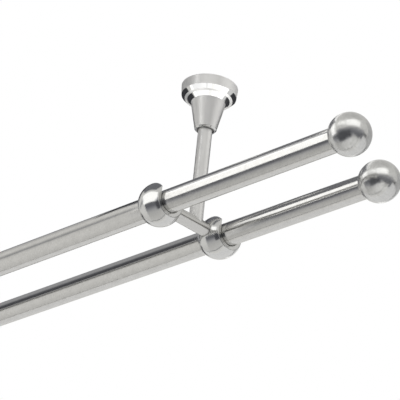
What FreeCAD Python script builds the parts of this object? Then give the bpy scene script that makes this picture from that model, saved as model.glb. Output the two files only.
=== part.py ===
import FreeCAD, Part
import math
import os
import re
import Sketcher

# A double curtain pole on two ceiling brackets, all of turned steel.
# The frame's origin is on the ceiling, midway between the two stems; +X runs along the poles,
# +Y goes from the front pole to the back pole, +Z is up, and lengths are in millimetres.

SIZES = {
    # the two poles, thin round tubes
    "pole_diameter": 20.0,
    "pole_wall": 1.0,
    "bracket_spacing": 820.0,
    "ceiling_drop": 130.0,
    "front_reach": 41.0,
    "back_reach": 29.0,
    "front_overhang": 204.0,
    "back_overhang": 174.0,
    # ball finials, bored to slip over the pole ends
    "ball_diameter": 34.5,
    "ball_bore_gap": 0.15,
    "ball_floor_offset": 5.0,
    # rings that carry the poles, each a ball cut flat on two sides, bored and slotted open from above
    "ring_width": 24.0,
    "ring_middle_wall": 8.2,
    "ring_edge_round": 1.5,
    "ring_bore_gap": 0.2,
    "ring_bore_chamfer": 0.8,
    "ring_floor_wall": 4.3,
    "pole_screw_angle": 35.0,
    # cross arm, a round bar between the rings
    "arm_diameter": 12.0,
    "arm_end_chamfer": 0.5,
    "arm_socket_gap": 0.15,
    # stem, a round bar from the rosette down to the arm
    "stem_diameter": 12.0,
    "saddle_gap": 0.05,
    # neck, a tapered sleeve round the top of the stem
    "neck_top_diameter": 29.2,
    "neck_foot_diameter": 18.6,
    "neck_length": 25.0,
    "neck_bore_gap": 0.2,
    "neck_rim_height": 1.1,
    "neck_rim_width": 1.2,
    "neck_mouth_chamfer": 0.6,
    "neck_screw_height": 7.0,
    # rosette, the turned cover at the ceiling
    "inner_bevel_width": 3.4,
    "inner_bevel_height": 3.1,
    "band_width": 2.3,
    "band_height": 0.7,
    "outer_bevel_width": 3.0,
    "outer_bevel_height": 3.0,
    "side_taper": 0.7,
    "side_height": 8.8,
    "side_wall": 2.3,
    "rosette_hole_gap": 0.3,
    # ceiling plate inside the rosette
    "plate_thickness": 4.0,
    "plate_edge_gap": 0.3,
    "boss_diameter": 14.0,
    "screw_hole_spacing": 26.0,
    "screw_hole_diameter": 4.5,
    "countersink_diameter": 8.4,
    # threaded studs that join the bars end to end
    "stem_stud_diameter": 6.0,
    "stem_stud_recess": 0.5,
    "stem_stud_grip": 12.0,
    "joint_stud_diameter": 5.0,
    "joint_stud_grip": 7.0,
    "joint_stud_depth": 1.5,
    "ring_stud_recess": 0.4,
    "ring_stud_grip": 6.0,
    "thread_gap": 0.05,
    "drill_allowance": 0.5,
    # set screws with a hexagon socket
    "set_screw_diameter": 4.0,
    "set_screw_recess": 0.5,
    "hexagon_width": 2.0,
    "hexagon_depth_share": 0.45,
}

# Lengths that follow from the sizes above. Each may use the sizes and the lines before it.
DERIVED = {
    "pole_radius": "pole_diameter / 2",
    "arm_radius": "arm_diameter / 2",
    "stem_radius": "stem_diameter / 2",
    "ball_radius": "ball_diameter / 2",
    "ball_bore_radius": "pole_radius + ball_bore_gap",
    "ball_mouth_offset": "sqrt(ball_radius ^ 2 - ball_bore_radius ^ 2)",
    "ball_screw_offset": "(ball_floor_offset + ball_mouth_offset) / 2",
    "ball_screw_reach": "sqrt(ball_radius ^ 2 - ball_screw_offset ^ 2)",
    "ring_half_width": "ring_width / 2",
    "ring_bore_radius": "pole_radius + ring_bore_gap",
    "ring_middle_radius": "ring_bore_radius + ring_middle_wall",
    "ring_round_offset": "ring_half_width - ring_edge_round",
    "ring_round_radius": "sqrt((ring_middle_radius - ring_edge_round) ^ 2 - ring_round_offset ^ 2)",
    "ring_round_scale": "ring_middle_radius / (ring_middle_radius - ring_edge_round)",
    "ring_floor": "ring_bore_radius + ring_floor_wall",
    "arm_front_length": "front_reach - ring_floor",
    "arm_back_length": "back_reach - ring_floor",
    "rosette_height": "side_height + outer_bevel_height + band_height + inner_bevel_height",
    "neck_top_radius": "neck_top_diameter / 2",
    "neck_foot_radius": "neck_foot_diameter / 2",
    "neck_bore_radius": "stem_radius + neck_bore_gap",
    "neck_screw_depth": "rosette_height + neck_length - neck_screw_height",
    "neck_flare": "(neck_top_radius - neck_foot_radius) / neck_length",
    "neck_screw_reach": "neck_foot_radius + neck_flare * neck_screw_height",
    "band_inner_radius": "neck_top_radius + inner_bevel_width",
    "band_outer_radius": "band_inner_radius + band_width",
    "side_lower_radius": "band_outer_radius + outer_bevel_width",
    "side_upper_radius": "side_lower_radius + side_taper",
    "cavity_radius": "side_lower_radius - side_wall",
    "plate_radius": "cavity_radius - plate_edge_gap",
    "stem_stud_radius": "stem_stud_diameter / 2",
    "joint_stud_radius": "joint_stud_diameter / 2",
    "set_screw_radius": "set_screw_diameter / 2",
    "set_screw_hole_radius": "set_screw_radius + thread_gap",
}

doc = FreeCAD.newDocument("double_curtain_pole")
sheet = doc.addObject("Spreadsheet::Sheet", "Sizes")
for row, (alias, value) in enumerate(SIZES.items(), start=1):
    sheet.set(f"A{row}", alias)
    sheet.set(f"B{row}", str(value))
    sheet.setAlias(f"B{row}", alias)
doc.recompute()


def formula(text):
    """An expression on the sheet's cells, with the derived lengths written out."""
    def spelled(match):
        word = match.group(0)
        if word in DERIVED:
            return "(" + formula(DERIVED[word]) + ")"
        if word in SIZES:
            return "Sizes." + word
        return word
    return re.sub(r"[a-z_]+", spelled, text)


def length(text):
    """The present value of such an expression."""
    return float(sheet.evalExpression(formula(text)))


def new_body(label):
    body = doc.addObject("PartDesign::Body", label)
    body.Label = label
    return body


def sketch_on(body, name, role, offset="0", turned_over=False):
    """A sketch on one of the body's own planes, moved along the plane's normal."""
    plane = next(item for item in body.Origin.OriginFeatures if item.Role == role)
    sketch = body.newObject("Sketcher::SketchObject", body.Name + "_" + name)
    sketch.AttachmentSupport = (plane, [""])
    sketch.MapMode = "FlatFace"
    if turned_over:
        flip = FreeCAD.Rotation(FreeCAD.Vector(1, 0, 0), 180)
        sketch.AttachmentOffset = FreeCAD.Placement(FreeCAD.Vector(), flip)
    sketch.setExpression("AttachmentOffset.Base.z", formula(offset))
    return sketch


def hold(sketch, geometry, end, across, up):
    """Hold a point of the sketch at two distances from the sketch's origin."""
    for kind, text in (("DistanceX", across), ("DistanceY", up)):
        number = sketch.addConstraint(Sketcher.Constraint(kind, -1, 1, geometry, end, length(text)))
        sketch.setExpression(f"Constraints[{number}]", formula(text))


def arc_between(start, stop, radius):
    """The short arc of that radius from start to stop that bulges away from the turning axis."""
    chord = stop - start
    middle = (start + stop) / 2
    outward = FreeCAD.Vector(chord.y, -chord.x, 0).normalize()
    centre = middle - outward * math.sqrt(radius ** 2 - (chord.Length / 2) ** 2)
    first = math.atan2(start.y - centre.y, start.x - centre.x)
    last = math.atan2(stop.y - centre.y, stop.x - centre.x)
    return Part.ArcOfCircle(Part.Circle(centre, FreeCAD.Vector(0, 0, 1), radius), first, last)


def turned(body, corners, arcs=None):
    """Turn an outline about the body's Z axis. Corners are (radius, height), in order, anticlockwise.

    arcs gives the radius of the edge that starts at a corner, where it isn't straight.
    """
    arcs = arcs or {}
    sketch = sketch_on(body, "profile", "XZ_Plane")
    points = [FreeCAD.Vector(length(across), length(up), 0) for across, up in corners]
    for index, start in enumerate(points):
        stop = points[(index + 1) % len(points)]
        if index in arcs:
            sketch.addGeometry(arc_between(start, stop, length(arcs[index])))
        else:
            sketch.addGeometry(Part.LineSegment(start, stop))
    for index in range(len(points)):
        following = (index + 1) % len(points)
        sketch.addConstraint(Sketcher.Constraint("Coincident", index, 2, following, 1))
    for index, (across, up) in enumerate(corners):
        hold(sketch, index, 1, across, up)
    for index, radius in arcs.items():
        number = sketch.addConstraint(Sketcher.Constraint("Radius", index, length(radius)))
        sketch.setExpression(f"Constraints[{number}]", formula(radius))
    revolution = body.newObject("PartDesign::Revolution", body.Name + "_turning")
    revolution.Profile = sketch
    revolution.ReferenceAxis = (sketch, ["V_Axis"])
    revolution.Angle = 360
    return revolution


def polygon(sketch, corners):
    """Draw a closed run of straight lines through corners (across, up), each held in its place."""
    points = [FreeCAD.Vector(length(across), length(up), 0) for across, up in corners]
    for index, start in enumerate(points):
        sketch.addGeometry(Part.LineSegment(start, points[(index + 1) % len(points)]))
    for index in range(len(points)):
        following = (index + 1) % len(points)
        sketch.addConstraint(Sketcher.Constraint("Coincident", index, 2, following, 1))
    for index, (across, up) in enumerate(corners):
        hold(sketch, index, 1, across, up)


def circle_sketch(body, name, role, radius, across="0", up="0", offset="0", turned_over=False):
    sketch = sketch_on(body, name, role, offset, turned_over)
    centre = FreeCAD.Vector(length(across), length(up), 0)
    sketch.addGeometry(Part.Circle(centre, FreeCAD.Vector(0, 0, 1), length(radius)))
    hold(sketch, 0, 3, across, up)
    number = sketch.addConstraint(Sketcher.Constraint("Radius", 0, length(radius)))
    sketch.setExpression(f"Constraints[{number}]", formula(radius))
    return sketch


def drill(body, name, role, radius, offset="0", across="0", up="0", depth=None, along_normal=True, lean=None):
    """A round hole from a plane, to a depth or right through what lies on that side.

    lean tilts the hole about the upright axis of the plane, in degrees.
    """
    sketch = circle_sketch(body, name, role, radius, across, up, offset)
    if lean:
        sketch.AttachmentOffset = FreeCAD.Placement(FreeCAD.Vector(), FreeCAD.Rotation(0, length(lean), 0))
        sketch.setExpression("AttachmentOffset.Rotation.Angle", formula(lean))
    hole = body.newObject("PartDesign::Pocket", body.Name + "_" + name + "_hole")
    hole.Profile = sketch
    hole.Reversed = along_normal
    if depth is None:
        hole.Type = "ThroughAll"
    else:
        hole.setExpression("Length", formula(depth))
    return hole


def seat(body, across, along, up, directions=None):
    """Place a body in the part's frame. directions are where its own X, Y and Z axes point."""
    if directions:
        body.Placement.Rotation = FreeCAD.Rotation(*[FreeCAD.Vector(*axis) for axis in directions])
    body.setExpression("Placement.Base.x", formula(across))
    body.setExpression("Placement.Base.y", formula(along))
    body.setExpression("Placement.Base.z", formula(up))


def stud(label, radius, span):
    """A plain round stud, from height 0 up."""
    body = new_body(label)
    turned(body, [
        ("0", "0"),
        (radius, "0"),
        (radius, span),
        ("0", span),
    ])
    return body


def set_screw(label, span):
    """A headless screw: its point at height 0, and a hexagon socket in its outer end."""
    body = new_body(label)
    turned(body, [
        ("0", "0"),
        ("set_screw_radius", "0"),
        ("set_screw_radius", span),
        ("0", span),
    ])
    sketch = sketch_on(body, "hexagon", "XY_Plane", span)
    corner = "hexagon_width / sqrt(3)"
    polygon(sketch, [(f"cos({turn}) * {corner}", f"sin({turn}) * {corner}") for turn in range(0, 360, 60)])
    socket = body.newObject("PartDesign::Pocket", body.Name + "_socket")
    socket.Profile = sketch
    socket.setExpression("Length", formula(f"({span}) * hexagon_depth_share"))
    return body


def ceiling_plate(side, place):
    """Round plate against the ceiling, with two countersunk screw holes and a threaded boss."""
    body = new_body("ceiling_plate_" + side)
    turned(body, [
        ("stem_stud_radius + thread_gap", "-side_height"),
        ("boss_diameter / 2", "-side_height"),
        ("boss_diameter / 2", "-plate_thickness"),
        ("plate_radius", "-plate_thickness"),
        ("plate_radius", "0"),
        ("stem_stud_radius + thread_gap", "0"),
    ])
    doc.recompute()
    for name, up in (("near", "screw_hole_spacing / 2"), ("far", "-screw_hole_spacing / 2")):
        sketch = circle_sketch(body, name, "XY_Plane", "screw_hole_diameter / 2", up=up,
                               offset="-plate_thickness", turned_over=True)
        doc.recompute()
        hole = body.newObject("PartDesign::Hole", body.Name + "_" + name + "_hole")
        hole.Profile = sketch
        hole.Threaded = False
        hole.DepthType = "ThroughAll"
        hole.HoleCutType = "Countersink"
        hole.HoleCutCountersinkAngle = 90
        hole.setExpression("Diameter", formula("screw_hole_diameter"))
        hole.setExpression("HoleCutDiameter", formula("countersink_diameter"))
        doc.recompute()
    seat(body, place, "0", "0")
    return body


def rosette(side, place):
    """Turned cover: a tapered side, a bevel, a narrow flat band and a second bevel down to the neck."""
    body = new_body("rosette_" + side)
    band_level = "-(side_height + outer_bevel_height)"
    turned(body, [
        ("stem_stud_radius + rosette_hole_gap", "-rosette_height"),
        ("neck_top_radius", "-rosette_height"),
        ("band_inner_radius", "-(rosette_height - inner_bevel_height)"),
        ("band_outer_radius", band_level),
        ("side_lower_radius", "-side_height"),
        ("side_upper_radius", "0"),
        ("cavity_radius", "0"),
        ("cavity_radius", "-side_height"),
        ("stem_stud_radius + rosette_hole_gap", "-side_height"),
    ])
    seat(body, place, "0", "0")
    return body


def neck(side, place):
    """Tapered sleeve with a polished rim at its foot and a bore for the stem."""
    body = new_body("neck_" + side)
    foot = "-(rosette_height + neck_length)"
    end = "-(rosette_height + neck_length + neck_rim_height)"
    turned(body, [
        ("neck_bore_radius + neck_mouth_chamfer", end),
        ("neck_foot_radius - neck_rim_width", end),
        ("neck_foot_radius", foot),
        ("neck_top_radius", "-rosette_height"),
        ("neck_bore_radius", "-rosette_height"),
        ("neck_bore_radius", f"{end} + neck_mouth_chamfer"),
    ])
    drill(body, "screw", "XZ_Plane", "set_screw_hole_radius", up="-neck_screw_depth", along_normal=False)
    seat(body, place, "0", "0")
    return body


def stem(side, place):
    """Round bar, tapped at both ends, with its foot cut to a saddle that sits on the cross arm."""
    body = new_body("stem_" + side)
    turned(body, [
        ("0", "-ceiling_drop"),
        ("stem_radius", "-ceiling_drop"),
        ("stem_radius", "-rosette_height"),
        ("0", "-rosette_height"),
    ])
    saddle = circle_sketch(body, "saddle", "XZ_Plane", "arm_radius + saddle_gap", up="-ceiling_drop")
    cut = body.newObject("PartDesign::Pocket", body.Name + "_saddle_cut")
    cut.Profile = saddle
    cut.Type = "ThroughAll"
    cut.SideType = "Symmetric"
    drill(body, "stud", "XY_Plane", "stem_stud_radius + thread_gap", offset="-rosette_height",
          depth="stem_stud_grip + drill_allowance", along_normal=False)
    drill(body, "joint", "XY_Plane", "joint_stud_radius + thread_gap", offset="-ceiling_drop",
          depth="arm_radius + joint_stud_grip + drill_allowance")
    seat(body, place, "0", "0")
    return body


def cross_arm(side, place):
    """Round bar between the two rings, tapped at both ends and once from above for the stem."""
    body = new_body("cross_arm_" + side)
    turned(body, [
        ("0", "-arm_front_length"),
        ("arm_radius - arm_end_chamfer", "-arm_front_length"),
        ("arm_radius", "-arm_front_length + arm_end_chamfer"),
        ("arm_radius", "arm_back_length - arm_end_chamfer"),
        ("arm_radius - arm_end_chamfer", "arm_back_length"),
        ("0", "arm_back_length"),
    ])
    reach = "ring_stud_grip + drill_allowance"
    tap = "joint_stud_radius + thread_gap"
    drill(body, "front", "XY_Plane", tap, offset="-arm_front_length", depth=reach)
    drill(body, "back", "XY_Plane", tap, offset="arm_back_length", depth=reach, along_normal=False)
    drill(body, "top", "YZ_Plane", tap, offset="-(joint_stud_depth + drill_allowance)")
    seat(body, place, "0", "-ceiling_drop", ((0, 0, 1), (1, 0, 0), (0, 1, 0)))
    return body


def pole_ring(label, place, along, directions, screw_lean):
    """Ring that a pole drops into: its own Z is the pole's axis, its own X points to the cross arm, Y is up.

    screw_lean is how far its set screw stands up from its own X, in degrees.
    """
    body = new_body(label)
    turned(body, [
        ("ring_bore_radius + ring_bore_chamfer", "-ring_half_width"),
        ("ring_round_radius", "-ring_half_width"),
        ("ring_round_radius * ring_round_scale", "-ring_round_offset * ring_round_scale"),
        ("ring_round_radius * ring_round_scale", "ring_round_offset * ring_round_scale"),
        ("ring_round_radius", "ring_half_width"),
        ("ring_bore_radius + ring_bore_chamfer", "ring_half_width"),
        ("ring_bore_radius", "ring_half_width - ring_bore_chamfer"),
        ("ring_bore_radius", "-ring_half_width + ring_bore_chamfer"),
    ], arcs={1: "ring_edge_round", 2: "ring_middle_radius", 3: "ring_edge_round"})
    slot = sketch_on(body, "slot", "XY_Plane")
    polygon(slot, [
        ("-ring_bore_radius", "0"),
        ("ring_bore_radius", "0"),
        ("ring_bore_radius", "ring_middle_radius"),
        ("-ring_bore_radius", "ring_middle_radius"),
    ])
    slot_cut = body.newObject("PartDesign::Pocket", body.Name + "_slot_cut")
    slot_cut.Profile = slot
    slot_cut.Type = "ThroughAll"
    slot_cut.SideType = "Symmetric"
    drill(body, "socket", "YZ_Plane", "arm_radius + arm_socket_gap", offset="ring_floor")
    drill(body, "tapped", "YZ_Plane", "joint_stud_radius + thread_gap")
    drill(body, "screw", "YZ_Plane", "set_screw_hole_radius", lean=screw_lean)
    seat(body, place, along, "-ceiling_drop", directions)
    return body


def ball_finial(label, place, along, directions):
    """Ball with a blind bore for the pole's end; its own Z points away from the pole."""
    body = new_body(label)
    turned(body, [
        ("0", "-ball_floor_offset"),
        ("ball_bore_radius", "-ball_floor_offset"),
        ("ball_bore_radius", "-ball_mouth_offset"),
        ("0", "ball_radius"),
    ], arcs={2: "ball_radius"})
    drill(body, "screw", "YZ_Plane", "set_screw_hole_radius", up="-ball_screw_offset")
    seat(body, place, along, "-ceiling_drop", directions)
    return body


def pole(label, overhang, along):
    """Thin round tube whose ends sit on the floors of the two finials' bores."""
    body = new_body(label)
    half = f"(bracket_spacing / 2 + {overhang} - ball_floor_offset)"
    turned(body, [
        ("pole_radius - pole_wall", f"-{half}"),
        ("pole_radius", f"-{half}"),
        ("pole_radius", half),
        ("pole_radius - pole_wall", half),
    ])
    seat(body, "0", along, "-ceiling_drop", ((0, 0, -1), (0, 1, 0), (1, 0, 0)))
    return body


parts = []

# Poles: front and back
LINES = (
    ("front", "front_overhang", "-front_reach", 1),
    ("back", "back_overhang", "back_reach", -1),
)
for line, overhang, along, arm_way in LINES:
    parts.append(pole(line + "_pole", overhang, along))

for side, way in (("left", -1), ("right", 1)):
    place = f"{way} * bracket_spacing / 2"

    # Ceiling bracket: plate, rosette, neck and stem on one vertical axis
    parts.append(ceiling_plate(side, place))
    parts.append(rosette(side, place))
    parts.append(neck(side, place))
    parts.append(stem(side, place))
    parts.append(cross_arm(side, place))

    # Stud from the plate's boss through the rosette into the stem
    stem_stud = stud("stem_stud_" + side, "stem_stud_radius",
                     "rosette_height + stem_stud_grip - stem_stud_recess")
    seat(stem_stud, place, "0", "-(rosette_height + stem_stud_grip)")
    parts.append(stem_stud)

    # Stud from the stem's foot into the cross arm
    joint_stud = stud("joint_stud_" + side, "joint_stud_radius",
                      "joint_stud_depth + arm_radius + joint_stud_grip")
    seat(joint_stud, place, "0", "-(ceiling_drop + joint_stud_depth)")
    parts.append(joint_stud)

    # Set screw that holds the neck to the stem, at the back
    neck_screw = set_screw("neck_screw_" + side, "neck_screw_reach - stem_radius - set_screw_recess")
    seat(neck_screw, place, "stem_radius", "-neck_screw_depth", ((1, 0, 0), (0, 0, -1), (0, 1, 0)))
    parts.append(neck_screw)

    for line, overhang, along, arm_way in LINES:
        # Ring and its stud into the arm
        ring_axes = ((0, arm_way, 0), (0, 0, 1), (arm_way, 0, 0))
        screw_lean = "pole_screw_angle" if arm_way > 0 else "180 - pole_screw_angle"
        parts.append(pole_ring(f"{line}_ring_{side}", place, along, ring_axes, screw_lean))
        stud_start = "(ring_bore_radius + ring_stud_recess)"
        stud_span = "ring_floor_wall - ring_stud_recess + ring_stud_grip"
        ring_stud = stud(f"{line}_ring_stud_{side}", "joint_stud_radius", stud_span)
        stud_axes = ((1, 0, 0), (0, 0, -arm_way), (0, arm_way, 0))
        seat(ring_stud, place, f"{along} + {arm_way} * {stud_start}", "-ceiling_drop", stud_axes)
        parts.append(ring_stud)

        # Set screw through the ring's rear lip, aslant, that presses the pole down into the ring
        pole_screw = set_screw(f"{line}_pole_screw_{side}",
                               "ring_middle_radius - pole_radius - set_screw_recess")
        screw_turn = math.radians(length("pole_screw_angle"))
        screw_way = (0, math.cos(screw_turn), math.sin(screw_turn))
        seat(pole_screw, place, f"{along} + pole_radius * cos(pole_screw_angle)",
             "-ceiling_drop + pole_radius * sin(pole_screw_angle)",
             ((1, 0, 0), (0, screw_way[2], -screw_way[1]), screw_way))
        parts.append(pole_screw)

        # Ball finial over the pole's end, with its set screw on top
        ball_place = f"{way} * (bracket_spacing / 2 + {overhang})"
        ball_axes = ((0, 0, 1), (0, -way, 0), (way, 0, 0))
        parts.append(ball_finial(f"{line}_finial_{side}", ball_place, along, ball_axes))
        finial_screw = set_screw(f"{line}_finial_screw_{side}",
                                 "ball_screw_reach - pole_radius - set_screw_recess")
        seat(finial_screw, f"{ball_place} - {way} * ball_screw_offset", along, "-ceiling_drop + pole_radius")
        parts.append(finial_screw)

doc.recompute()

for item in doc.Objects:
    if "Invalid" in item.State or "Error" in item.State:
        raise RuntimeError(f"{item.Label} did not build: {item.State}")
for body in parts:
    if body.Shape.isNull() or not body.Shape.isValid() or len(body.Shape.Solids) != 1:
        raise RuntimeError(f"{body.Label} is not one sound solid")

os.makedirs("parts", exist_ok=True)
for body in parts:
    body.Shape.exportStep(f"parts/{body.Label}.step")
    box = body.Shape.BoundBox
    print(f"{body.Label}: {body.Shape.Volume:.1f} mm3, x {box.XMin:.2f}..{box.XMax:.2f}, "
          f"y {box.YMin:.2f}..{box.YMax:.2f}, z {box.ZMin:.2f}..{box.ZMax:.2f}")
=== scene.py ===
import math

import bmesh
import bpy
from mathutils import Matrix, Vector


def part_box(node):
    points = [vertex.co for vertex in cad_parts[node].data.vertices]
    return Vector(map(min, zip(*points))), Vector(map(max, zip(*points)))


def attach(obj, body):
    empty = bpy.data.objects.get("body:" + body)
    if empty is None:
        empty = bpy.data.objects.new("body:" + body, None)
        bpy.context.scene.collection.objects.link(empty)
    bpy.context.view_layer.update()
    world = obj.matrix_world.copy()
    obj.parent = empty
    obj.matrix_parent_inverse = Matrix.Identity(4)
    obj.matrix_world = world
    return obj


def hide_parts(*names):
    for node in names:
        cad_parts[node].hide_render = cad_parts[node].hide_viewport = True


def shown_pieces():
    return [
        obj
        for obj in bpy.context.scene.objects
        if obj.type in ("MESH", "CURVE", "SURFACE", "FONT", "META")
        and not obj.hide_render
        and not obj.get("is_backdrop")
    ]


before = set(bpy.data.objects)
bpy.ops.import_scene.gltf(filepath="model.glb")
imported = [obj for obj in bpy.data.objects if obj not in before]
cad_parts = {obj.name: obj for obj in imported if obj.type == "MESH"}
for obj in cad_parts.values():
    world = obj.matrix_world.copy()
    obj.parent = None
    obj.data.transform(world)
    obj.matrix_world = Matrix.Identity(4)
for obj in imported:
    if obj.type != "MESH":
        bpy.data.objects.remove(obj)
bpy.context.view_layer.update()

# Ceiling plates. Each is a round steel disc with a boss, turned in one piece, drilled and
# countersunk for two ceiling screws and tapped through its middle for the stem's stud.
# It is left as it comes off the lathe, because the rosette covers it.
sides = (("left", -0.410), ("right", 0.410))


def eased(corners):
    """The outline of a turned piece with its corners broken. Corners are (radius, height, ease) in mm."""
    steps = 5
    most_of_edge = 0.48
    points = []
    for index, (radius, height, ease) in enumerate(corners):
        here = Vector((radius, height))
        if not ease:
            points.append(here)
            continue
        before = Vector(corners[index - 1][:2]) - here
        after = Vector(corners[(index + 1) % len(corners)][:2]) - here
        reach = ease / math.tan(before.angle(after) / 2)
        reach = min(reach, most_of_edge * before.length, most_of_edge * after.length)
        start = here + before.normalized() * reach
        end = here + after.normalized() * reach
        for step in range(steps + 1):
            t = step / steps
            points.append(start * (1 - t) ** 2 + here * 2 * t * (1 - t) + end * t ** 2)
    return points


def skinned(name, rings, flat_ends=False):
    """A closed piece skinned over rings of points in mm. A ring of one point is a spot on the axis.

    The last ring runs back to the first, unless flat ends close them both.
    """
    mesh = bmesh.new()
    rows = [[mesh.verts.new(Vector(point) / 1000) for point in ring] for ring in rings]
    for low, high in zip(rows, rows[1:] if flat_ends else rows[1:] + rows[:1]):
        count = max(len(low), len(high))
        for k in range(count if count > 1 else 0):
            j = (k + 1) % count
            corners = [low[k % len(low)], low[j % len(low)], high[j % len(high)], high[k % len(high)]]
            mesh.faces.new(list(dict.fromkeys(corners)))
    if flat_ends:
        mesh.faces.new(rows[0])
        mesh.faces.new(rows[-1])
    bmesh.ops.recalc_face_normals(mesh, faces=mesh.faces)
    data = bpy.data.meshes.new(name)
    mesh.to_mesh(data)
    mesh.free()
    piece = bpy.data.objects.new(name, data)
    bpy.context.scene.collection.objects.link(piece)
    return piece


def ring_of(reaches, height):
    """A ring of points about the axis, one for each reach in mm."""
    turns = [2 * math.pi * k / len(reaches) for k in range(len(reaches))]
    return [(reach * math.cos(turn), reach * math.sin(turn), height) for reach, turn in zip(reaches, turns)]


def turned(name, outline, segments=128):
    """A piece turned about its own Z axis."""
    rings = []
    for radius, height in outline:
        on_axis = radius < 1e-6
        rings.append([(0, 0, height)] if on_axis else ring_of([radius] * segments, height))
    return skinned(name, rings)


def cut_away(piece, cutter):
    """Take the cutter's solid away from the piece and drop the cutter."""
    cut = piece.modifiers.new("cut", "BOOLEAN")
    cut.object = cutter
    cut.solver = "EXACT"
    graph = bpy.context.evaluated_depsgraph_get()
    solid = bpy.data.meshes.new_from_object(piece.evaluated_get(graph))
    piece.modifiers.clear()
    piece.data = solid
    bpy.data.objects.remove(cutter)


def drilled(piece, *holes):
    """Drill round holes. Each is (radius, length, where its axis starts, direction) in mm."""
    for radius, length, start, direction in holes:
        drill = turned("drill", [(0, 0), (radius, 0), (radius, length), (0, length)], 64)
        turn = Vector(direction).to_track_quat("Z", "Y").to_matrix().to_4x4()
        drill.data.transform(Matrix.Translation(Vector(start) / 1000) @ turn)
        cut_away(piece, drill)


def finished(piece, finish, slot, *nodes, at=(0, 0, 0), axes=None):
    """Shade a piece, set it in its place and hide the CAD nodes that it takes the place of."""
    piece.data.shade_smooth()
    piece.data.set_sharp_from_angle(angle=math.radians(32))
    weighted = piece.modifiers.new("even_shading", "WEIGHTED_NORMAL")
    weighted.keep_sharp = True
    piece.data.materials.clear()
    piece.data.materials.append(finish)
    turn = Matrix(axes).transposed().to_4x4() if axes else Matrix.Identity(4)
    piece.matrix_world = Matrix.Translation(Vector(at)) @ turn
    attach(piece, "root")
    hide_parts(*nodes)


def add_socket(group, name, kind, out=False):
    """Give a node group one more input, or an output."""
    way = "OUTPUT" if out else "INPUT"
    group.interface.new_socket(name, in_out=way, socket_type="NodeSocket" + kind)


def lathe_marks():
    """Fine lines that run round a turned piece, with broader bands and slow clouding over them."""
    group = bpy.data.node_groups.new("lathe_marks", "ShaderNodeTree")
    add_socket(group, "Position", "Vector")
    add_socket(group, "Lines", "Float")
    add_socket(group, "Slant", "Float")
    add_socket(group, "Marks", "Float", out=True)
    add_socket(group, "Bands", "Float", out=True)
    add_socket(group, "Clouds", "Float", out=True)
    nodes, links = group.nodes, group.links
    inside = nodes.new("NodeGroupInput")
    outside = nodes.new("NodeGroupOutput")
    split = nodes.new("ShaderNodeSeparateXYZ")
    links.new(inside.outputs["Position"], split.inputs[0])

    def maths(kind, *values):
        """One Math node. Each value is a number or another node's output."""
        node = nodes.new("ShaderNodeMath")
        node.operation = kind
        for socket, value in zip(node.inputs, values):
            if isinstance(value, (int, float)):
                socket.default_value = value
            else:
                links.new(value, socket)
        return node.outputs[0]

    # lines follow one another along the axis, and outwards too, so that flat faces have rings
    x, y, z = split.outputs
    outwards = 0.83
    radius = maths("SQRT", maths("ADD", maths("MULTIPLY", x, x), maths("MULTIPLY", y, y)))
    radius = maths("MAXIMUM", radius, 1e-5)
    along = maths("MULTIPLY_ADD", radius, outwards, z)
    along = maths("MULTIPLY_ADD", y, inside.outputs["Slant"], along)
    around_x = maths("DIVIDE", x, radius)
    around_y = maths("DIVIDE", y, radius)
    for name, share, spread, detail in (("Marks", 1.0, 5.0, 4.0), ("Bands", 0.16, 2.2, 2.0)):
        spacing = maths("MULTIPLY", inside.outputs["Lines"], share)
        place = nodes.new("ShaderNodeCombineXYZ")
        links.new(maths("MULTIPLY", along, spacing), place.inputs[0])
        links.new(maths("MULTIPLY", around_x, spread), place.inputs[1])
        links.new(maths("MULTIPLY", around_y, spread), place.inputs[2])
        noise = nodes.new("ShaderNodeTexNoise")
        noise.inputs["Scale"].default_value = 1.0
        noise.inputs["Detail"].default_value = detail
        noise.inputs["Roughness"].default_value = 0.62
        links.new(place.outputs[0], noise.inputs["Vector"])
        links.new(noise.outputs["Fac"], outside.inputs[name])
    clouds = nodes.new("ShaderNodeTexNoise")
    clouds.inputs["Scale"].default_value = 70.0
    clouds.inputs["Detail"].default_value = 3.0
    links.new(inside.outputs["Position"], clouds.inputs["Vector"])
    links.new(clouds.outputs["Fac"], outside.inputs["Clouds"])
    return group


turning = lathe_marks()


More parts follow.
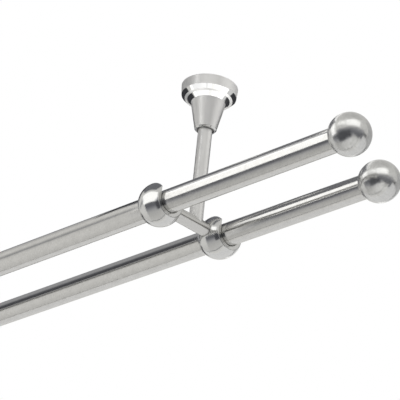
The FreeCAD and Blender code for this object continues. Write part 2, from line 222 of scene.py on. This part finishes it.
def steel(name, dark, light, smooth, rough, depth, lines=2600.0, slant=0.0, streak=0.0):
    """Bare steel with the marks of its tool.

    It has a darkest and a lightest tone, a smoothest and a roughest polish, and lines that are so
    deep in metres, so many to the metre and so far aslant, and that streak what it reflects.
    """
    fine_share = 0.6
    band_share = 0.4
    finish = bpy.data.materials.new(name)
    finish.use_nodes = True
    nodes, links = finish.node_tree.nodes, finish.node_tree.links
    shader = nodes["Principled BSDF"]
    shader.inputs["Metallic"].default_value = 1.0
    shader.inputs["Anisotropic"].default_value = streak
    shader.inputs["Anisotropic Rotation"].default_value = 0.25
    where = nodes.new("ShaderNodeTexCoord")
    marks = nodes.new("ShaderNodeGroup")
    marks.node_tree = turning
    marks.inputs["Lines"].default_value = lines
    marks.inputs["Slant"].default_value = slant
    links.new(where.outputs["Object"], marks.inputs["Position"])
    bands = nodes.new("ShaderNodeMath")
    bands.operation = "MULTIPLY"
    bands.inputs[1].default_value = band_share
    links.new(marks.outputs["Bands"], bands.inputs[0])
    blend = nodes.new("ShaderNodeMath")
    blend.operation = "MULTIPLY_ADD"
    blend.inputs[1].default_value = fine_share
    links.new(marks.outputs["Marks"], blend.inputs[0])
    links.new(bands.outputs[0], blend.inputs[2])
    tone = nodes.new("ShaderNodeMixRGB")
    tone.inputs["Color1"].default_value = (*dark, 1)
    tone.inputs["Color2"].default_value = (*light, 1)
    links.new(blend.outputs[0], tone.inputs["Fac"])
    links.new(tone.outputs["Color"], shader.inputs["Base Color"])
    polish = nodes.new("ShaderNodeMapRange")
    polish.inputs["From Min"].default_value = 0.3
    polish.inputs["From Max"].default_value = 0.7
    polish.inputs["To Min"].default_value = smooth
    polish.inputs["To Max"].default_value = rough
    links.new(marks.outputs["Clouds"], polish.inputs["Value"])
    links.new(polish.outputs["Result"], shader.inputs["Roughness"])
    bump = nodes.new("ShaderNodeBump")
    bump.inputs["Strength"].default_value = 1.0
    bump.inputs["Distance"].default_value = depth
    links.new(marks.outputs["Marks"], bump.inputs["Height"])
    links.new(bump.outputs["Normal"], shader.inputs["Normal"])
    if streak:
        grain = nodes.new("ShaderNodeTangent")
        grain.direction_type = "RADIAL"
        grain.axis = "Z"
        links.new(grain.outputs["Tangent"], shader.inputs["Tangent"])
    return finish


plain_steel = steel("plain_steel", (0.40, 0.40, 0.41), (0.56, 0.56, 0.56),
                    smooth=0.28, rough=0.42, depth=1.2e-5, lines=1800.0)
plate_outline = eased([
    (3.05, -8.8, 0.3), (7.0, -8.8, 0.4), (7.0, -4.0, 0.6),
    (20.7, -4.0, 0.3), (20.7, 0.0, 0.3), (3.05, 0.0, 0.3),
])
sink_outline = [(0, -5.0), (5.2, -5.0), (4.2, -4.0), (2.2, -2.0), (0, -2.0)]
ceiling_hole = 2.25
ceiling_holes_along = (13, -13)
for side, across in sides:
    plate = turned("ceiling_disc_" + side, plate_outline)
    drilled(plate, *[(ceiling_hole, 12, (0, along, -8), (0, 0, 1)) for along in ceiling_holes_along])
    for along in ceiling_holes_along:
        sink = turned("sink", sink_outline, 64)
        sink.data.transform(Matrix.Translation((0, along / 1000, 0)))
        cut_away(plate, sink)
    finished(plate, plain_steel, "plain_steel", "ceiling_plate_" + side, at=(across, 0, 0))


# Stem studs. Each is a steel rod, threaded from end to end, that hangs from the plate's boss,
# passes through the rosette and holds the stem. Its end shows in the plate's middle.
def threaded(name, radius, pitch, length, socket=0.0):
    """A threaded rod from height 0 up, in mm, with an optional hexagon socket in its top."""
    segments = 48
    rows = int(length / pitch * 8)
    depth = 0.54 * pitch
    sixth = math.pi / 3
    rings = [[(0, 0, 0)]]
    for row in range(rows + 1):
        height = length * row / rows
        tapered = radius - depth + min(height, length - height)
        reaches = []
        for k in range(segments):
            phase = (height / pitch - k / segments) % 1.0
            reaches.append(min(radius - depth * abs(2 * phase - 1), tapered))
        rings.append(ring_of(reaches, height))
    if socket:
        turns = [2 * math.pi * k / segments for k in range(segments)]
        hexagon = [socket / 2 / math.cos((turn + sixth / 2) % sixth - sixth / 2) for turn in turns]
        rings.append(ring_of(hexagon, length))
        rings.append(ring_of(hexagon, length * 0.55))
        rings.append([(0, 0, length * 0.5)])
    else:
        rings.append([(0, 0, length)])
    return skinned(name, rings)


for side, across in sides:
    low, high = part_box("stem_stud_" + side)
    rod = threaded("stem_rod_" + side, radius=3.0, pitch=1.0, length=(high.z - low.z) * 1000)
    finished(rod, plain_steel, "plain_steel", "stem_stud_" + side, at=(across, 0, low.z))

# Rosettes. Each is a turned stainless cover with a satin side, two polished bevels and a
# narrow satin band between them. It is clamped against the ceiling by the stem.
satin_steel = steel("satin_steel", (0.76, 0.755, 0.74), (0.83, 0.825, 0.81),
                    smooth=0.42, rough=0.48, depth=3.0e-7, streak=0.7)
polished_steel = steel("polished_steel", (0.62, 0.62, 0.61), (0.70, 0.70, 0.69),
                       smooth=0.07, rough=0.12, depth=2.0e-7, lines=3500.0)
rosette_outline = eased([
    (3.3, -15.6, 0), (14.6, -15.6, 0.15), (18.0, -12.5, 0.25), (20.3, -11.8, 0.3), (23.3, -8.8, 0.35),
    (24.0, 0.0, 0.3), (21.0, 0.0, 0.25), (21.0, -8.8, 0.4), (3.3, -8.8, 0),
])
rosette_bevels = ((14.4, 18.05, -16.0, -12.4), (20.25, 25.0, -11.95, -8.75))


def polished(piece, bands):
    """Polish the faces in these bands. Each is (least radius, most radius, lowest, highest) in mm."""
    piece.data.materials.append(polished_steel)
    for face in piece.data.polygons:
        reach = math.hypot(face.center.x, face.center.y) * 1000
        height = face.center.z * 1000
        bright = any(near < reach < far and foot < height < head for near, far, foot, head in bands)
        face.material_index = 1 if bright else 0


for side, across in sides:
    rosette = turned("rosette_cover_" + side, rosette_outline, 160)
    finished(rosette, satin_steel, "bracket_steel", "rosette_" + side, at=(across, 0, 0))
    polished(rosette, rosette_bevels)

# Necks. Each is a tapered satin steel sleeve that slips over the top of the stem, with a
# polished rim at its foot. A small set screw at the back keeps it up.
neck_outline = eased([
    (7.3, -41.7, 0.15), (8.1, -41.7, 0.5), (9.3, -40.6, 0.35), (14.6, -15.6, 0.2),
    (6.2, -15.6, 0), (6.2, -36.2, 0.1), (7.3, -36.2, 0.1),
])
neck_rim = (7.35, 25.0, -42.0, -40.3)
screw_hole = 2.05
laid_back = ((1, 0, 0), (0, 0, -1), (0, 1, 0))


def set_screw(name, length):
    """An M4 set screw with a 2 mm hexagon socket."""
    return threaded(name, radius=2.0, pitch=0.7, length=length, socket=2.0)


for side, across in sides:
    neck = turned("neck_sleeve_" + side, neck_outline, 160)
    drilled(neck, (screw_hole, 12, (0, 6.5, -33.6), (0, 1, 0)))
    finished(neck, satin_steel, "bracket_steel", "neck_" + side, at=(across, 0, 0))
    polished(neck, (neck_rim,))
    low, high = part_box("neck_screw_" + side)
    grub = set_screw("neck_grub_" + side, (high.y - low.y) * 1000)
    finished(grub, plain_steel, "plain_steel", "neck_screw_" + side,
             at=(across, low.y, (low.z + high.z) / 2), axes=laid_back)

# Stems. Each is a round satin steel bar that screws onto the plate's stud. Its foot is milled
# to a saddle that sits on the cross arm, and a hidden stud joins the two.
pole_height = -0.130
bar_radius = 6.0
stem_foot = pole_height * 1000
stem_outline = eased([
    (0, stem_foot, 0), (bar_radius, stem_foot, 0), (bar_radius, -15.6, 0.3), (0, -15.6, 0),
])
for side, across in sides:
    stem = turned("stem_bar_" + side, stem_outline)
    drilled(stem, (bar_radius + 0.05, 40, (0, -20, stem_foot), (0, 1, 0)))
    finished(stem, satin_steel, "bracket_steel", "stem_" + side, at=(across, 0, 0))

# Cross arms. Each is a round stainless bar, brighter and more finely brushed than the stem.
# Its eased ends seat in the rings' sockets, and hidden studs hold them there.
arm_steel = steel("arm_steel", (0.54, 0.535, 0.52), (0.66, 0.655, 0.64),
                  smooth=0.15, rough=0.20, depth=6.0e-7, lines=1200.0, streak=0.3)
for side, across in sides:
    low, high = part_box("cross_arm_" + side)
    span = (high.y - low.y) * 1000
    arm_outline = eased([(0, 0, 0), (bar_radius, 0, 0.5), (bar_radius, span, 0.5), (0, span, 0)])
    arm = turned("cross_bar_" + side, arm_outline)
    finished(arm, arm_steel, "bracket_steel", "cross_arm_" + side,
             at=(across, low.y, pole_height), axes=laid_back)

# Rings. Each is a steel ball cut flat on two sides, bored for the pole, slotted open from above
# and polished. It has a socket for the cross arm, and a set screw goes aslant through its rear
# lip and presses the pole down.
ring_steel = steel("ring_steel", (0.60, 0.60, 0.59), (0.70, 0.70, 0.69),
                   smooth=0.13, rough=0.18, depth=8.0e-7, lines=1600.0, streak=0.2)
ring_radius = 18.4
ring_half = 12.0
ring_bore = 10.2
ring_round = 1.5
bore_chamfer = 0.5
lip_round = 0.7
lip_narrowing = 0.45


def cradle(name):
    """A pole ring along its own Z axis, open towards its own Y, skinned over U-shaped cuts through it."""
    rounding = ring_half - ring_round
    middle = math.sqrt((ring_radius - ring_round) ** 2 - rounding ** 2)
    meets = rounding * ring_radius / (ring_radius - ring_round)
    heights = [rounding + ring_round * math.cos(math.radians(turn)) for turn in range(0, 49, 8)]
    heights += [meets * math.cos(math.radians(turn)) for turn in range(0, 91, 3)]
    heights += [-height for height in reversed(heights[:-1])]
    rings = []
    for height in heights:
        depth = abs(height)
        if depth > meets:
            outer = middle + math.sqrt(max(ring_round ** 2 - (depth - rounding) ** 2, 0))
        else:
            outer = math.sqrt(ring_radius ** 2 - depth ** 2)
        inner = ring_bore + max(bore_chamfer - ring_half + depth, 0)
        crest = lip_round - lip_narrowing * (depth / ring_half) ** 4
        top = math.sqrt((outer - crest) ** 2 - (inner + crest) ** 2)
        lean = math.atan2(top, inner + crest)
        lip_turns = [lean + (math.pi - lean) * k / 10 for k in range(11)]
        bore_turns = [-math.pi * k / 72 for k in range(73)]
        wrap = math.pi + 2 * lean
        outside_turns = [math.pi - lean + wrap * k / 160 for k in range(1, 160)]
        right = [(inner + crest * (1 + math.cos(turn)), top + crest * math.sin(turn)) for turn in lip_turns]
        right += [(inner, top * (1 - k / 10)) for k in range(1, 10)]
        left = [(-x, y) for x, y in reversed(right)]
        bore = [(inner * math.cos(turn), inner * math.sin(turn)) for turn in bore_turns]
        outside = [(outer * math.cos(turn), outer * math.sin(turn)) for turn in outside_turns]
        rings.append([(x, y, height) for x, y in right + bore + left + outside])
    return skinned(name, rings, flat_ends=True)


front_line = -0.041
back_line = 0.029
screw_lean = math.radians(35)
lean_back = math.cos(screw_lean)
lean_up = math.sin(screw_lean)
screw_tip = 0.010
for side, across in sides:
    for line, along, arm_way in (("front", front_line, 1), ("back", back_line, -1)):
        ring = cradle(f"{line}_pole_holder_{side}")
        rear_lip = (arm_way * lean_back, lean_up, 0)
        arm_socket = (bar_radius + 0.15, 12, (14.5, 0, 0), (1, 0, 0))
        lip_hole = (screw_hole, 14, tuple(9 * part for part in rear_lip), rear_lip)
        drilled(ring, arm_socket, lip_hole)
        finished(ring, ring_steel, "polished_steel", f"{line}_ring_{side}",
                 at=(across, along, pole_height), axes=((0, arm_way, 0), (0, 0, 1), (arm_way, 0, 0)))
        grub = set_screw(f"{line}_ring_grub_{side}", 7.9)
        finished(grub, plain_steel, "plain_steel", f"{line}_pole_screw_{side}",
                 at=(across, along + screw_tip * lean_back, pole_height + screw_tip * lean_up),
                 axes=((1, 0, 0), (0, lean_up, -lean_back), (0, lean_back, lean_up)))

# Poles. Each is a thin round stainless tube, brushed with a fine belt that ran a little aslant.
# It lies in its two rings, and their set screws press it down.
pole_steel = steel("pole_steel", (0.43, 0.425, 0.41), (0.795, 0.79, 0.775),
                   smooth=0.14, rough=0.19, depth=5.0e-7, lines=1000.0, slant=0.5, streak=0.3)
pole_radius = 10.0
pole_inside = 9.0
for line, along in (("front", front_line), ("back", back_line)):
    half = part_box(line + "_pole")[1].x * 1000
    tube_outline = eased([
        (pole_inside, -half, 0.1), (pole_radius, -half, 0.2),
        (pole_radius, half, 0.2), (pole_inside, half, 0.1),
    ])
    tube = turned(line + "_tube", tube_outline, 160)
    finished(tube, pole_steel, "pole_steel", line + "_pole",
             at=(0, along, pole_height), axes=((0, 0, -1), (0, 1, 0), (1, 0, 0)))

# Finials. Each is a ball of spun steel, left with its lathe lines, with a blind bore that slips
# over the pole's end. A set screw on top holds it.
spun_steel = steel("spun_steel", (0.40, 0.40, 0.39), (0.84, 0.84, 0.83),
                   smooth=0.20, rough=0.27, depth=4.0e-6, lines=1100.0, streak=0.3)
ball_radius = 17.25
ball_bore = 10.15
bore_floor = -5.0
mouth = math.pi - math.asin((ball_bore + 0.35) / ball_radius)
mouth_height = ball_radius * math.cos(mouth)
ball_outline = [
    (0, bore_floor), (ball_bore, bore_floor),
    (ball_bore, mouth_height + 0.45), (ball_bore + 0.12, mouth_height + 0.12),
]
for k in range(65):
    turn = mouth * (1 - k / 64)
    ball_outline.append((ball_radius * math.sin(turn), ball_radius * math.cos(turn)))
for side, across in sides:
    way = 1 if across > 0 else -1
    for line, along, beyond in (("front", front_line, 0.204), ("back", back_line, 0.174)):
        low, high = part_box(f"{line}_finial_screw_{side}")
        screw_across = (low.x + high.x) / 2
        centre = across + way * beyond
        ball = turned(f"{line}_ball_{side}", ball_outline)
        drilled(ball, (screw_hole, 12, (8, 0, (screw_across - centre) * way * 1000), (1, 0, 0)))
        finished(ball, spun_steel, "finial_steel", f"{line}_finial_{side}",
                 at=(centre, along, pole_height), axes=((0, 0, 1), (0, -way, 0), (way, 0, 0)))
        grub = set_screw(f"{line}_ball_grub_{side}", (high.z - low.z) * 1000)
        finished(grub, plain_steel, "plain_steel", f"{line}_finial_screw_{side}",
                 at=(screw_across, along, low.z))

# Inner studs. Short steel rods that join the stem to the cross arm and the arm to its rings.
# They stay out of sight inside the bars, so they keep their plain solids.
for name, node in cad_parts.items():
    if "_ring_stud_" in name or name.startswith("joint_stud_"):
        node.data.materials.clear()
        node.data.materials.append(plain_steel)

# Studio. A pale floor lies far below in a white room. Cards that only reflections see stand
# about the poles, pale for the light bands in the metal and dark for the dark ones, and soft
# light boxes each light a few pieces.
scene = bpy.context.scene
scene.view_settings.view_transform = "Standard"
world = bpy.data.worlds.new("white_room")
scene.world = world
world.use_nodes = True
world.node_tree.nodes["Background"].inputs["Color"].default_value = (1, 1, 1, 1)

# the floor, clear from below so that it hides nothing there
floor_height = -1.6
floor_corners = [(x, y, floor_height) for x, y in ((-8, -8), (8, -8), (8, 8), (-8, 8))]
floor_mesh = bpy.data.meshes.new("floor")
floor_mesh.from_pydata(floor_corners, [], [(0, 1, 2, 3)])
floor = bpy.data.objects.new("floor", floor_mesh)
scene.collection.objects.link(floor)
floor_paint = bpy.data.materials.new("floor_paint")
floor_paint.use_nodes = True
paint = floor_paint.node_tree
paint_shader = paint.nodes["Principled BSDF"]
paint_shader.inputs["Base Color"].default_value = (0.85, 0.85, 0.85, 1)
paint_shader.inputs["Roughness"].default_value = 0.9
below = paint.nodes.new("ShaderNodeNewGeometry")
clear = paint.nodes.new("ShaderNodeBsdfTransparent")
either = paint.nodes.new("ShaderNodeMixShader")
paint.links.new(below.outputs["Backfacing"], either.inputs[0])
paint.links.new(paint_shader.outputs[0], either.inputs[1])
paint.links.new(clear.outputs[0], either.inputs[2])
paint.links.new(either.outputs[0], paint.nodes["Material Output"].inputs["Surface"])
floor_mesh.materials.append(floor_paint)
floor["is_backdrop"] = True

# the cards' glow, a little cooler where it is dark and a little warmer where it is pale
card_glow = bpy.data.materials.new("card_glow")
card_glow.use_nodes = True
glow = card_glow.node_tree
glow.nodes.remove(glow.nodes["Principled BSDF"])
card_level = glow.nodes.new("ShaderNodeAttribute")
card_level.attribute_name = "level"
shine = glow.nodes.new("ShaderNodeEmission")
glow.links.new(card_level.outputs["Fac"], shine.inputs["Strength"])
paleness = glow.nodes.new("ShaderNodeMapRange")
paleness.inputs["From Min"].default_value = 0.1
paleness.inputs["From Max"].default_value = 0.6
glow.links.new(card_level.outputs["Fac"], paleness.inputs["Value"])
tint = glow.nodes.new("ShaderNodeMixRGB")
tint.inputs["Color1"].default_value = (0.95, 0.97, 1.08, 1)
tint.inputs["Color2"].default_value = (1.0, 0.992, 0.968, 1)
glow.links.new(paleness.outputs["Result"], tint.inputs["Fac"])
glow.links.new(tint.outputs["Color"], shine.inputs["Color"])
glow.links.new(shine.outputs[0], glow.nodes["Material Output"].inputs["Surface"])


def card(name, rows, levels):
    """A card skinned over rows of points. Each row has its own level of grey, and 1 is white."""
    count = len(rows[0])
    faces = []
    for row in range(len(rows) - 1):
        for k in range(row * count + 1, (row + 1) * count):
            faces.append((k - 1, k, k + count, k - 1 + count))
    data = bpy.data.meshes.new(name)
    data.from_pydata([point for row in rows for point in row], [], faces)
    shades = [value for row, value in zip(rows, levels) for point in row]
    data.attributes.new("level", "FLOAT", "POINT").data.foreach_set("value", shades)
    data.materials.append(card_glow)
    piece = bpy.data.objects.new(name, data)
    scene.collection.objects.link(piece)
    piece.visible_camera = False
    piece.visible_diffuse = False
    piece.visible_shadow = False
    piece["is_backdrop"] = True


def trough(name, across, steps):
    """A card bent about the front pole's line. Steps are (angle in degrees up from +Y, reach, level)."""
    rows = []
    for angle, reach, shade in steps:
        along = front_line + reach * math.cos(math.radians(angle))
        up = pole_height + reach * math.sin(math.radians(angle))
        rows.append([(x, along, up) for x in across])
    card(name, rows, [shade for angle, reach, shade in steps])


def screen(name, reach, around, steps):
    """A card bent round the right-hand bracket. Steps are (degrees above the horizon, level)."""
    panels = 24
    first, last = around
    turns = [math.radians(first + (last - first) * k / panels) for k in range(panels + 1)]
    rows = []
    for rise, shade in steps:
        flat = reach * math.cos(math.radians(rise))
        up = pole_height + reach * math.sin(math.radians(rise))
        rows.append([(0.45 + flat * math.cos(turn), flat * math.sin(turn), up) for turn in turns])
    card(name, rows, [shade for rise, shade in steps])


# the room: a grey tent, greyer to the right, with dark stretches of horizon behind the object
screen("tent", 6.0, (-180, 180), [(-11, 0.78), (15, 0.78), (50, 0.74), (75, 0.66), (89, 0.66)])
screen("grey_side", 5.6, (50, 112), [(-10, 0.50), (25, 0.52), (50, 0.62)])
screen("dark_horizon_behind", 5.3, (96, 120), [(-9, 0.06), (8, 0.06)])
screen("dark_horizon_left", 5.3, (150, 178), [(-9, 0.06), (8, 0.06)])
screen("dark_horizon_right", 5.3, (25, 48), [(-9, 0.05), (3, 0.05)])

# the dark room behind the camera
screen("dark_room", 2.2, (-64, 24), [(-38, 0.30), (-33, 0.16), (-12, 0.16), (2, 0.32), (12, 0.50)])

# beside the right-hand half: a flag in front that grows paler below, a darker one before the
# balls, and one overhead
trough("front_flag", (0.20, 1.0), [
    (191, 0.25, 0.26), (195, 0.25, 0.17), (208, 0.25, 0.17), (218, 0.25, 0.30),
    (228, 0.25, 0.46), (238, 0.25, 0.55), (277, 0.25, 0.68), (300, 0.25, 0.92),
])
trough("ball_flag", (0.50, 0.84), [
    (176, 0.24, 0.36), (184, 0.24, 0.20), (195, 0.24, 0.08), (226, 0.24, 0.08), (236, 0.24, 0.16),
])
trough("top_flag", (0.20, 0.45), [(50, 0.25, 0.20), (130, 0.25, 0.20)])

# beside the left-hand half: a soft pale card with a dark far edge and a grey line across it
trough("left_card", (-1.4, 0.19), [
    (34, 0.25, 0.08), (62, 0.25, 0.16), (80, 0.25, 0.45), (110, 0.25, 0.70), (128, 0.25, 0.84),
    (146, 0.25, 0.78), (160, 0.25, 0.48), (171, 0.25, 0.36), (177, 0.25, 0.68), (194, 0.25, 0.82),
    (225, 0.25, 0.84), (264, 0.25, 0.76), (279, 0.25, 0.72), (300, 0.25, 0.86),
])

# a dark line below each half, and a dark flag between and over the poles on the left
trough("floor_line_left", (-1.4, 0.19), [(289, 0.24, 0.20), (292, 0.24, 0.20)])
trough("floor_line_right", (0.19, 1.0), [(281, 0.24, 0.20), (284, 0.24, 0.20)])
trough("gap_flag", (-0.6, 0.375), [
    (9.7, 0.0355, 0.08), (33.0, 0.0417, 0.08), (39.4, 0.0583, 0.42), (24, 0.0985, 0.32), (18.4, 0.1265, 0.28),
])

# dark flags close to the rosette, on its left and behind it, for its bevels
card("bevel_flag_left", [
    [(0.31, 0.050, 0.045), (0.31, 0.013, 0.022), (0.31, -0.044, -0.024), (0.31, -0.062, -0.040)],
    [(0.31, 0.050, -0.010), (0.31, 0.013, -0.034), (0.31, -0.044, -0.080), (0.31, -0.062, -0.095)],
], [0.05, 0.05])
card("bevel_flag_right", [
    [(0.36, 0.10, 0.030), (0.40, 0.10, 0.016), (0.43, 0.10, 0.000), (0.46, 0.10, -0.020)],
    [(0.36, 0.10, -0.012), (0.40, 0.10, -0.032), (0.43, 0.10, -0.052), (0.46, 0.10, -0.075)],
], [0.05, 0.05])


def light_box(name, centre, target, width, height, level, words):
    """A soft light box that faces the target and lights only the pieces with these words in their names.

    At level 1 it looks white in a mirror.
    """
    data = bpy.data.lights.new(name, "AREA")
    data.shape = "RECTANGLE"
    data.size = width
    data.size_y = height
    data.energy = level * math.pi * width * height
    box = bpy.data.objects.new(name, data)
    scene.collection.objects.link(box)
    outward = (Vector(centre) - Vector(target)).normalized()
    steady = Vector((0, 1, 0) if abs(outward.z) > 0.99 else (0, 0, 1))
    sideways = steady.cross(outward).normalized()
    facing = Matrix((sideways, outward.cross(sideways), outward)).transposed()
    box.location = centre
    box.rotation_mode = "QUATERNION"
    box.rotation_quaternion = facing.to_quaternion()
    box.visible_camera = False
    receivers = bpy.data.collections.new(name + "_receivers")
    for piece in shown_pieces():
        if any(word in piece.name for word in words):
            receivers.objects.link(piece)
    box.light_linking.receiver_collection = receivers


# four boxes side by side about the right-hand half of the poles
pole_middle = (0.325, front_line, pole_height)
for number, (angle, level) in enumerate(((116, 1.25), (146, 0.85), (176, 0.85), (231, 0.36))):
    turn = math.radians(angle)
    centre = (0.325, front_line + 0.25 * math.cos(turn), pole_height + 0.25 * math.sin(turn))
    light_box(f"long_box_{number}", centre, pole_middle, 0.25, 0.133, level, ("_tube", "_ball_right"))

# boxes for the right-hand balls, the rings and the front pole, and one behind for their rims
front_ball = (0.614, front_line, pole_height)
balls = ("_ball_right",)
light_box("ball_box", (0.89, -0.22, 0.12), front_ball, 0.48, 0.26, 0.78, balls)
light_box("ball_side_box", (0.60, -0.42, 0.11), front_ball, 0.34, 0.16, 0.6, balls)
light_box("ball_foot_box", (0.652, -0.086, -0.342), front_ball, 0.34, 0.28, 0.22, balls)
light_box("ball_top_box", (0.325, 0.02, 0.112), pole_middle, 0.30, 0.20, 0.5, balls)
light_box("ring_box", (0.35, -0.254, -0.073), (0.350, front_line, pole_height), 0.38, 0.20, 0.75,
          ("_pole_holder_",))
light_box("front_pole_box", (0.34, -0.141, 0.043), (0.340, front_line, pole_height), 0.22, 0.122, 0.6,
          ("front_tube",))
light_box("rim_box", (0.10, 1.00, -0.10), (0.500, 0.000, pole_height), 0.60, 0.36, 0.6,
          ("_ball_right", "_pole_holder_right"))

# boxes for each bracket: one under the rosette, two in front and behind, one beside the neck and
# stem, and a narrow bright one for the line of light down them
for side, across in sides:
    way = 1 if across > 0 else -1
    over = across + 0.01 * way
    light_box("rosette_box_" + side, (over, -0.03, -0.100), (over, -0.03, 0.0), 0.22, 0.25, 1.1,
              ("rosette_cover_" + side,))
    satin = tuple(word + side for word in ("rosette_cover_", "neck_sleeve_", "stem_bar_"))
    for number, (beside, along, up, width, level, lit) in enumerate((
        (0.06, -0.14, 0.03, 0.32, 0.20, satin),
        (0.15, 0.12, 0.03, 0.34, 0.22, satin),
        (-0.18, 0.02, 0.03, 0.34, 0.25, satin[1:]),
        (-0.01, -0.16, 0.05, 0.010, 2.4, satin),
    )):
        light_box(f"bracket_box_{number}_{side}", (across + beside * way, along, up), (across, 0.0, -0.04),
                  width, 0.24, level, lit)

# Camera. It looks up at the right-hand bracket from far off, below and in front, as the
# photograph does.
camera_data = bpy.data.cameras.new("camera")
camera_data.sensor_width = 36.0
camera_data.lens = 221.077
camera_data.clip_end = 60.0
camera = bpy.data.objects.new("camera", camera_data)
scene.collection.objects.link(camera)
camera.rotation_mode = "QUATERNION"
camera.location = (1.72631, -1.22841, -1.04377)
camera.rotation_quaternion = (0.464385, 0.801107, 0.298252, 0.231557)
scene.camera = camera
